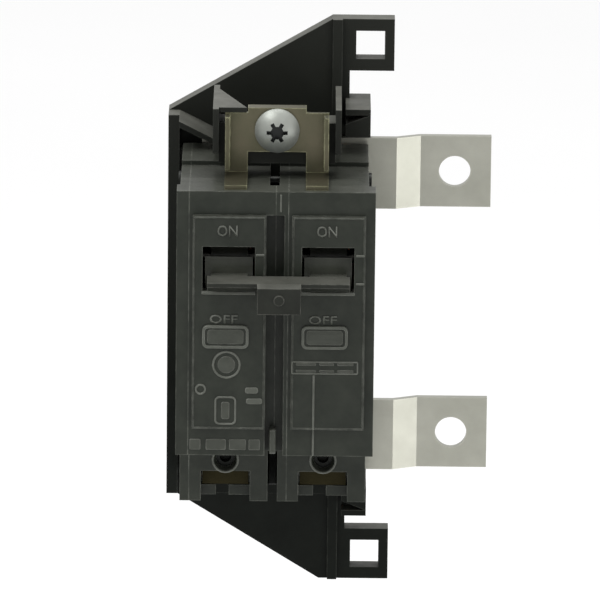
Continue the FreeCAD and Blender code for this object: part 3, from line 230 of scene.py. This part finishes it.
def moulded_plastic(name, dark, light, worn_and_highlit, roughness, specular, dust_and_top_light=0.5, painted_top_light=None):
    """Compression-moulded plastic: mottled tone, fine grain, pale edges that are partly wear and partly
    painted highlight, and lighter up-facing faces that are partly dust and partly painted light; a colour
    given for the top is painted light towards the top.
    """
    material, tree, shader = new_material(name)
    coords = place_coords(tree)
    mottling = ramp(tree, noise(tree, coords, 150.0, 5.0, 0.65), "Fac", ((0.32, 0.0), (0.72, 1.0)))
    tone = blend_colour(tree, mottling, "Color", dark, light)
    # painted light: the colour grows lighter towards the top of the part, standing in for the light that
    # falls more on its top
    if painted_top_light:
        tone = blend_colour(tree, height_mask(tree), "Result", tone, painted_top_light)
    # pale edges: lighter colour along the edges, partly wear and partly painted highlight
    edges = edge_wear_and_highlight_mask(tree, 0.35 * MM, coords, 0.86, 0.995)
    scuffed_and_highlit = blend_colour(tree, edges, "Value", tone, worn_and_highlit)
    # lighter up-facing faces: partly dust, partly painted light
    dusty_and_top_lit = blend_colour(tree, dust_and_top_light_mask(tree, coords, dust_and_top_light), "Value", scuffed_and_highlit, (0.20, 0.20, 0.175))
    tree.links.new(dusty_and_top_lit.outputs[MIX_RESULT], shader.inputs["Base Color"])
    gloss = ramp(tree, noise(tree, coords, 260.0, 4.0), "Fac",
                 ((0.25, roughness - 0.07), (0.75, roughness + 0.10)))
    link(tree, gloss, "Color", shader, "Roughness")
    shader.inputs["Specular IOR Level"].default_value = specular
    grain = noise(tree, coords, 5200.0, 2.0)
    waves = noise(tree, coords, 190.0, 2.0)
    bump(tree, shader, ((waves, "Fac", 0.35, 0.10 * MM), (grain, "Fac", 0.30, 0.02 * MM)))
    return material


def plated_metal(name, base, tint, roughness, stretch, streak=0.25, edge_lightening=0.5, metallic=1.0, edge=1.6,
                 recess=None):
    """Plated sheet: fine rolling streaks, cloudy tint and edges lighter in colour, partly worn plating and
    partly painted highlight; a recess, if given, gets painted shade.
    """
    material, tree, shader = new_material(name)
    cloud_coords = place_coords(tree)
    streak_coords = place_coords(tree, stretch)
    clouds = ramp(tree, noise(tree, cloud_coords, 90.0, 4.0), "Fac", ((0.3, 0.0), (0.75, 1.0)))
    tone = blend_colour(tree, clouds, "Color", base, tint)
    # lighter edges: partly rubbed plating, partly painted highlight
    lighter_edges = edge_wear_and_highlight_mask(tree, 0.5 * MM, cloud_coords, 0.80, 0.99)
    fade = add(tree, "ShaderNodeMath", operation="MULTIPLY")
    link(tree, lighter_edges, "Value", fade, 0)
    fade.inputs[1].default_value = edge_lightening
    edged = blend_colour(tree, fade, "Value", tone, tuple(min(1.0, c * edge) for c in base))
    # painted shade: the screw head's recess is darkened to near black, standing in for the shade inside it
    if recess:
        edged = blend_colour(tree, recess_shade_mask(tree, *recess), "Value", edged, (0.012, 0.014, 0.013))
    tree.links.new(edged.outputs[MIX_RESULT], shader.inputs["Base Color"])
    shader.inputs["Metallic"].default_value = metallic
    streaks = noise(tree, streak_coords, 900.0, 3.0)
    gloss = ramp(tree, streaks, "Fac", ((0.25, roughness - 0.06), (0.75, roughness + 0.10)))
    link(tree, gloss, "Color", shader, "Roughness")
    dents = noise(tree, cloud_coords, 160.0, 2.0)
    bump(tree, shader, ((dents, "Fac", 0.20, 0.10 * MM), (streaks, "Fac", streak, 0.008 * MM)))
    return material


def woven_fibre(name, base, tint):
    """Pressed fibre board."""
    material, tree, shader = new_material(name)
    coords = place_coords(tree, (1, 1, 3))
    fibres = noise(tree, coords, 900.0, 5.0)
    tone = blend_colour(tree, ramp(tree, fibres, "Fac", ((0.3, 0), (0.7, 1))), "Color", base, tint)
    tree.links.new(tone.outputs[MIX_RESULT], shader.inputs["Base Color"])
    shader.inputs["Roughness"].default_value = 0.8
    bump(tree, shader, ((fibres, "Fac", 0.5, 0.05 * MM),))
    return material


def make_materials():
    """Materials by slot of the CAD record, and the finishes in OTHER_FINISH and for raised marks."""
    sheet_grain = (1, 12, 12)
    return {
        # carrier: the last colour is painted light, reached towards the top
        "carrier_plastic": moulded_plastic("carrier_black", (0.0032, 0.0042, 0.0030),
                                           (0.006, 0.0075, 0.0056), (0.050, 0.053, 0.046), 0.44, 0.09, 0.42,
                                           (0.0135, 0.0145, 0.012)),
        "case_plastic": moulded_plastic("case_charcoal", (0.012, 0.0145, 0.0105), (0.022, 0.025, 0.019),
                                        (0.125, 0.13, 0.112), 0.36, 0.22, 0.16),
        # painted light: the handle colour is lighter than the case's to offset the shade in the slot where it
        # stands
        "handle_plastic": moulded_plastic("handle_charcoal_painted_light", (0.040, 0.043, 0.034), (0.060, 0.064, 0.051),
                                          (0.13, 0.13, 0.115), 0.33, 0.24, 0.25),
        "tie_plastic": moulded_plastic("tie_charcoal", (0.0095, 0.0105, 0.008), (0.016, 0.0175, 0.0135),
                                       (0.12, 0.12, 0.105), 0.33, 0.18, 0.34),
        # raised marks: lighter than the case as painted highlight, for the catch-light on raised letters,
        # sills, ticks and collars
        "print_plastic": moulded_plastic("raised_marks_painted_highlight", (0.050, 0.054, 0.044), (0.080, 0.085, 0.071),
                                         (0.16, 0.165, 0.145), 0.42, 0.30, 0.2),
        "flag_plastic": moulded_plastic("flag_grey", (0.030, 0.033, 0.026), (0.050, 0.054, 0.044),
                                        (0.16, 0.16, 0.145), 0.42, 0.24, 0.2),
        # chromated steel: edge factor 5.0 gives the lightest edges, partly painted highlight
        "chromated_steel": plated_metal("chromated_steel", (0.085, 0.085, 0.054), (0.135, 0.122, 0.085), 0.42,
                                        (14, 14, 1), 0.3, 1.0, 1.0, 5.0),
        # zinc steel: the last tuple places the painted shade in the screw head's recess
        "zinc_steel": plated_metal("zinc_steel", (0.20, 0.215, 0.195), (0.28, 0.29, 0.265), 0.40,
                                   (6, 6, 6), 0.15, 0.3, 0.45, 1.6, (0.0553, 0.0029, 0.04575, 0.0435)),
        "plain_steel": plated_metal("plain_steel", (0.10, 0.10, 0.095), (0.15, 0.145, 0.13), 0.42,
                                    (1, 10, 10)),
        # dark steel: nearly black; on the lug screws this is painted shade
        "dark_steel": plated_metal("dark_steel", (0.016, 0.017, 0.016), (0.030, 0.031, 0.029), 0.42,
                                   (4, 4, 4), 0.2, 0.4),
        "tin_plate": plated_metal("tin_plate", (0.325, 0.325, 0.280), (0.40, 0.398, 0.348), 0.36, sheet_grain,
                                  0.22, 0.7),
        "bare_copper": plated_metal("bare_copper", (0.62, 0.30, 0.17), (0.74, 0.42, 0.26), 0.34, (1, 1, 12)),
        "contact_alloy": plated_metal("contact_alloy", (0.70, 0.69, 0.66), (0.78, 0.77, 0.74), 0.28,
                                      (3, 3, 3)),
        "vulcanised_fibre": woven_fibre("vulcanised_fibre", (0.26, 0.09, 0.06), (0.36, 0.15, 0.10)),
        # painted shade: the lug colour is made near black-brown, standing in for the shade in the wire mouth
        # where it sits
        "lug_aluminium": plated_metal("lug_aluminium", (0.020, 0.018, 0.009), (0.034, 0.029, 0.015), 0.6,
                                      (1, 1, 14), 0.25, 0.3),
    }


# ---------------------------------------------------------------- CAD nodes

EDGE_WIDTH = {"carrier": 0.35, "hold_down_bracket": 0.30, "hold_down_screw": 0.15, "handle_tie": 0.40,
              "upper_bus_strap": 0.25, "lower_bus_strap": 0.25, "left_handle": 0.30, "right_handle": 0.30,
              "left_pole_base": 0.35, "right_pole_base": 0.35, "left_pole_cover": 0.35,
              "right_pole_cover": 0.35, "left_lug": 0.3, "right_lug": 0.3, "case_rivets": 0.2,
              "line_bolts": 0.25, "hold_down_nut": 0.2}


# the lug screws take dark_steel, nearly black, as painted shade of the funnel holes they sit in
OTHER_FINISH = {"handle_tie": "tie_plastic", "left_lug_screw": "dark_steel", "right_lug_screw": "dark_steel",
                "case_rivets": "dark_steel"}


def dress_nodes(materials):
    """Give each CAD node its material, and broken edges to what shows."""
    slots = {row["node"]: row["material_slot"] for row in frame["record"]["subparts"]}
    for node, piece in frame["nodes"].items():
        piece.data.materials.clear()
        piece.data.materials.append(materials[OTHER_FINISH.get(node, slots[node])])
        if node in EDGE_WIDTH:
            break_edges(piece, EDGE_WIDTH[node] * MM)


def break_edges(piece, width):
    """Round the sharp edges with modifiers; the CAD vertices stay as they are."""
    flat = piece.modifiers.new("merge_flats", "DECIMATE")
    flat.decimate_type = "DISSOLVE"
    flat.angle_limit = math.radians(1.0)
    bevel = piece.modifiers.new("edge_round", "BEVEL")
    bevel.width = width
    bevel.segments = 2
    bevel.limit_method = "ANGLE"
    bevel.angle_limit = math.radians(35)
    bevel.use_clamp_overlap = True
    bevel.harden_normals = True


# ---------------------------------------------------------------- added detail

# depths in millimetres in front of the carrier's back
PANEL_FACE = 60.3
FLANGE_FACE = 58.8
FLAG_FACE = 60.8
LUG_FACE = 38.0
ROOT = 0.25          # how far a raised detail reaches into the face behind it
LETTER_RISE = 0.25
PANEL_LEFT = 8.5     # panel edges from the pole's centre
PANEL_RIGHT = 10.2
PANEL_MIDDLE = 8.6
PANEL_HEIGHT = 56.4
BORDER_INSET = 0.3
RATING_BAR_HEIGHTS = (-2.05, -3.9)


def finish_piece(piece, material, body):
    """Put a detail in the scene, on its body, with the material it is given."""
    piece.data.materials.append(material)
    bpy.context.collection.objects.link(piece)
    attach(piece, body)
    return piece


def rounded_outline(width, height, radius, steps=5):
    """Corners of a rounded rectangle about the origin, anticlockwise."""
    points = []
    corners = ((1, 1, 0), (-1, 1, 90), (-1, -1, 180), (1, -1, 270))
    for sign_x, sign_z, start in corners:
        for step in range(steps + 1):
            angle = math.radians(start + 90 * step / steps)
            points.append((sign_x * (width / 2 - radius) + radius * math.cos(angle),
                           sign_z * (height / 2 - radius) + radius * math.sin(angle)))
    return points


def loop(mesh, centre, outline, depth):
    """Ring of vertices from an (x, z) outline in millimetres, at one depth."""
    return [mesh.verts.new(((centre[0] + x) * MM, -depth * MM, (centre[1] + z) * MM)) for x, z in outline]


def bridge(mesh, first, second):
    """Quads between two rings of equal length."""
    count = len(first)
    for i in range(count):
        after = (i + 1) % count
        mesh.faces.new((first[i], first[after], second[after], second[i]))


def mesh_piece(name, mesh):
    """Object from a bmesh, which is freed."""
    bmesh.ops.recalc_face_normals(mesh, faces=mesh.faces)
    data = bpy.data.meshes.new(name)
    mesh.to_mesh(data)
    mesh.free()
    return bpy.data.objects.new(name, data)


def pad(name, centre, size, radius, face, rise, chamfer=0.12, crown=0.0):
    """Raised pad: rounded rectangle with a chamfered rim, a little crowned if asked."""
    mesh = bmesh.new()
    width, height = size
    levels = [(0, face - ROOT), (0, face + rise - chamfer), (chamfer, face + rise)]
    rings = [loop(mesh, centre, rounded_outline(width - 2 * inset, height - 2 * inset,
                                                max(radius - inset, 0.02)), depth)
             for inset, depth in levels]
    if crown:
        inset = min(width, height) * 0.28
        rings.append(loop(mesh, centre, rounded_outline(width - 2 * inset, height - 2 * inset,
                                                        max(radius - inset, 0.02)), face + rise + crown))
    for first, second in zip(rings, rings[1:]):
        bridge(mesh, first, second)
    mesh.faces.new(rings[0])
    mesh.faces.new(rings[-1])
    return mesh_piece(name, mesh)


def frame_ring(name, centre, size, radius, face, rise, width, chamfer=0.12):
    """Raised border: rounded rectangle ring with chamfered edges."""
    mesh = bmesh.new()
    outer_w, outer_h = size
    levels = [(0, face - ROOT), (0, face + rise - chamfer), (chamfer, face + rise),
              (width - chamfer, face + rise), (width, face + rise - chamfer), (width, face - ROOT)]
    rings = [loop(mesh, centre, rounded_outline(outer_w - 2 * inset, outer_h - 2 * inset,
                                                max(radius - inset, 0.02)), depth)
             for inset, depth in levels]
    for first, second in zip(rings, rings[1:] + rings[:1]):
        bridge(mesh, first, second)
    return mesh_piece(name, mesh)


def lettering(name, words, centre, height, width, face):
    """Raised word, cap height and width in millimetres."""
    curve = bpy.data.curves.new(name, "FONT")
    curve.body = words
    curve.size = 1.0
    curve.align_x = "CENTER"
    curve.align_y = "CENTER"
    curve.resolution_u = 3
    curve.offset = 0.012
    trial = bpy.data.objects.new(name + "_trial", curve)
    bpy.context.collection.objects.link(trial)
    flat = bpy.data.meshes.new_from_object(trial)
    bpy.data.objects.remove(trial)
    bpy.data.curves.remove(curve)
    xs = [v.co.x for v in flat.vertices]
    ys = [v.co.y for v in flat.vertices]
    middle = ((max(xs) + min(xs)) / 2, (max(ys) + min(ys)) / 2)
    scale = (width / (max(xs) - min(xs)), height / (max(ys) - min(ys)))
    mesh = bmesh.new()
    mesh.from_mesh(flat)
    bpy.data.meshes.remove(flat)
    bmesh.ops.remove_doubles(mesh, verts=mesh.verts, dist=1e-5)
    bmesh.ops.dissolve_limit(mesh, angle_limit=math.radians(1), verts=mesh.verts, edges=mesh.edges)
    for vertex in mesh.verts:
        x = (vertex.co.x - middle[0]) * scale[0] + centre[0]
        z = (vertex.co.y - middle[1]) * scale[1] + centre[1]
        vertex.co = Vector((x * MM, -(face - ROOT) * MM, z * MM))
    result = bmesh.ops.extrude_face_region(mesh, geom=mesh.faces[:])
    raised = [v for v in result["geom"] if isinstance(v, bmesh.types.BMVert)]
    for vertex in raised:
        vertex.co.y = -(face + LETTER_RISE) * MM
    return mesh_piece(name, mesh)


def make_marks(materials):
    """Generic ON and OFF, flag borders and pads, tick ribs and blank pads for printed matter."""
    # the raised-marks material is lighter than the case as painted highlight
    highlit_marks = materials["print_plastic"]
    case = materials["case_plastic"]
    pieces = []
    for pole in POLES:
        centre = POLE_CENTRE[pole]
        pieces.append((lettering(f"{pole}_on_word", "ON", (centre + 0.35, 33.0), 2.9, 5.2, PANEL_FACE),
                       highlit_marks))
        pieces.append((lettering(f"{pole}_off_word", "OFF", (centre - 0.5, 9.7), 2.3, 7.2, PANEL_FACE),
                       highlit_marks))
        pieces.append((frame_ring(f"{pole}_flag_border", (centre, 5.1), (11.9, 6.1), 1.5, PANEL_FACE, 0.85,
                                  0.75), highlit_marks))
        pieces.append((pad(f"{pole}_flag_pad", (centre, 5.1), (9.4, 3.9), 0.9, FLAG_FACE, 0.12, 0.1, 0.1),
                       materials["flag_plastic"]))
        pieces.append((pad(f"{pole}_slot_sill", (centre + 0.7, 16.6), (13.8, 0.8), 0.25, PANEL_FACE, 0.35,
                           0.15), highlit_marks))
        left, right = centre - PANEL_LEFT, centre + PANEL_RIGHT
        pieces.append((frame_ring(f"{pole}_panel_border", ((left + right) / 2, PANEL_MIDDLE),
                                  (right - left - BORDER_INSET, PANEL_HEIGHT - BORDER_INSET), 0.4,
                                  PANEL_FACE, 0.18, 0.45), case))
    ticks = {"left_tick": (-4.0, 26.7), "right_tick_high": (21.6, 26.7), "right_tick_low": (21.6, 19.3)}
    for name, place in ticks.items():
        pieces.append((pad(name, place, (2.2, 0.55), 0.2, PANEL_FACE, 0.3, 0.1), highlit_marks))
    return pieces


def make_blank_pads(materials):
    """Blank raised fields where ratings and marks are moulded."""
    # the raised-marks material is lighter than the case as painted highlight
    highlit_marks = materials["print_plastic"]
    soft = materials["flag_plastic"]
    pieces = [
        (frame_ring("round_field_border", (-12.4, -2.4), (7.4, 7.4), 3.7, PANEL_FACE, 0.3, 0.55), highlit_marks),
        (pad("round_field", (-12.4, -2.4), (4.6, 4.6), 2.3, PANEL_FACE, 0.2, 0.12, 0.1), soft),
        (frame_ring("small_round_field", (-19.0, -9.0), (2.9, 2.9), 1.45, PANEL_FACE, 0.25, 0.5), highlit_marks),
        (frame_ring("shield_field", (-12.6, -14.6), (5.6, 7.6), 1.3, PANEL_FACE, 0.25, 0.5), highlit_marks),
        (pad("shield_bar", (-12.6, -14.6), (2.2, 4.6), 0.6, PANEL_FACE, 0.2), soft),
        (pad("side_field_high", (-5.9, -9.2), (3.4, 1.6), 0.6, PANEL_FACE, 0.22), highlit_marks),
        (pad("side_field_low", (-5.2, -12.1), (4.2, 1.5), 0.6, PANEL_FACE, 0.22), highlit_marks),
        (frame_ring("rating_field", (12.8, -3.0), (17.2, 3.5), 0.5, PANEL_FACE, 0.25, 0.4), highlit_marks),
        (pad("panel_ridge", (10.0, -12.2), (0.55, 14.6), 0.2, PANEL_FACE, 0.3, 0.12), highlit_marks),
        (pad("flange_ridge", (10.0, -23.2), (0.55, 7.2), 0.2, FLANGE_FACE, 0.4, 0.12), highlit_marks),
        (pad("channel_rib", (-0.45, -23.5), (1.7, 6.4), 0.3, 54.75, 3.6, 0.3), soft),
        (pad("pole_spacer", (-0.45, -36.2), (2.4, 17.8), 0.3, 12.0, 12.0, 0.4), materials["carrier_plastic"]),
        (pad("flange_rib", (1.2, 40.0), (0.5, 4.6), 0.2, FLANGE_FACE, 0.25, 0.1), highlit_marks),
    ]
    for pole in POLES:
        centre = POLE_CENTRE[pole]
        pieces.append((frame_ring(f"{pole}_funnel_collar", (centre, -34.2), (7.2, 7.2), 3.6, LUG_FACE, 0.4,
                                  0.55, 0.15), highlit_marks))
    for index, (left, right) in enumerate(((-21.8, -18.9), (-17.6, -12.4), (-11.6, -7.2), (-6.6, -3.6))):
        pieces.append((pad(f"foot_field_{index}", ((left + right) / 2, -24.1), (right - left, 2.9), 0.4,
                           FLANGE_FACE, 0.22), soft))
    for index, z in enumerate(RATING_BAR_HEIGHTS):
        for side, (left, right) in enumerate(((5.4, 10.6), (11.4, 15.2), (16.0, 20.2))):
            pieces.append((pad(f"rating_bar_{index}_{side}", ((left + right) / 2, z),
                               (right - left, 0.75), 0.3, PANEL_FACE, 0.18, 0.08), soft))
    return pieces


def add_detail(materials):
    """All the details belong to still pieces, so they ride the root body."""
    for piece, material in make_marks(materials) + make_blank_pads(materials):
        finish_piece(piece, material, "root")


# ---------------------------------------------------------------- stage

def make_stage():
    """Plain pale floor well below the part, which hangs as on its panel."""
    drop = 0.55
    floor_mesh = bpy.data.meshes.new("floor")
    reach = 30.0
    low = CAD_BOX[0][2] - drop
    floor_mesh.from_pydata([(-reach, -reach, low), (reach, -reach, low), (reach, reach, low),
                            (-reach, reach, low)], [], [(0, 1, 2, 3)])
    floor = bpy.data.objects.new("floor", floor_mesh)
    bpy.context.collection.objects.link(floor)
    material, tree, shader = new_material("pale_floor")
    coords = place_coords(tree)
    tone = blend_colour(tree, noise(tree, coords, 3.0), "Fac", (0.93, 0.93, 0.93), (0.96, 0.96, 0.96))
    tree.links.new(tone.outputs[MIX_RESULT], shader.inputs["Base Color"])
    shader.inputs["Roughness"].default_value = 0.9
    shader.inputs["Specular IOR Level"].default_value = 0.0
    floor_mesh.materials.append(material)


def make_world():
    world = bpy.data.worlds.new("studio")
    bpy.context.scene.world = world
    world.use_nodes = True
    tree = world.node_tree
    coords = tree.nodes.new("ShaderNodeTexCoord")
    split = tree.nodes.new("ShaderNodeSeparateXYZ")
    link(tree, coords, "Generated", split, "Vector")
    height = add(tree, "ShaderNodeMapRange")
    height.inputs["From Min"].default_value = -0.1
    height.inputs["From Max"].default_value = 1.0
    link(tree, split, "Z", height, "Value")
    sky = ramp(tree, height, "Result", ((0.0, 0.75), (0.35, 0.85), (1.0, 1.0)))
    background = tree.nodes["Background"]
    link(tree, sky, "Color", background, "Color")
    background.inputs["Strength"].default_value = 1.05


def soft_light(name, place, size, power):
    """Square area light that looks at the part."""
    data = bpy.data.lights.new(name, "AREA")
    data.shape = "SQUARE"
    data.size = size
    data.energy = power
    light = bpy.data.objects.new(name, data)
    light.location = place
    light.rotation_euler = (-Vector(place)).to_track_quat("-Z", "Y").to_euler()
    light.visible_camera = False
    bpy.context.collection.objects.link(light)


def make_lights():
    soft_light("key", (-0.7, -0.6, 1.3), 0.7, 14.0)
    soft_light("top", (0.1, 0.25, 1.4), 0.9, 12.0)
    soft_light("right_strip", (1.3, -1.1, -0.2), 0.6, 4.2)


def make_camera():
    """Long lens, a little above the face, turned a trace about its own axis."""
    elevation = math.radians(15.0)
    distance = 1.9
    frame_width = 153.4 * MM
    target = Vector((6.3, -60.3, 14.95)) * MM
    data = bpy.data.cameras.new("camera")
    data.sensor_width = 36.0
    data.lens = data.sensor_width * distance / frame_width
    data.clip_end = 100.0
    camera = bpy.data.objects.new("camera", data)
    offset = Vector((0, -math.cos(elevation), math.sin(elevation))) * distance
    look = (-offset).to_track_quat("-Z", "Y").to_matrix().to_4x4()
    roll = Matrix.Rotation(math.radians(0.6), 4, "Z")
    camera.matrix_world = Matrix.Translation(target + offset) @ look @ roll
    bpy.context.collection.objects.link(camera)
    bpy.context.scene.camera = camera


def set_view():
    view = bpy.context.scene.view_settings
    view.view_transform = "Standard"
    view.look = "None"
    view.exposure = 0.0


make_stage()
make_world()
make_lights()
make_camera()
set_view()
MATERIALS = make_materials()
dress_nodes(MATERIALS)
add_detail(MATERIALS)
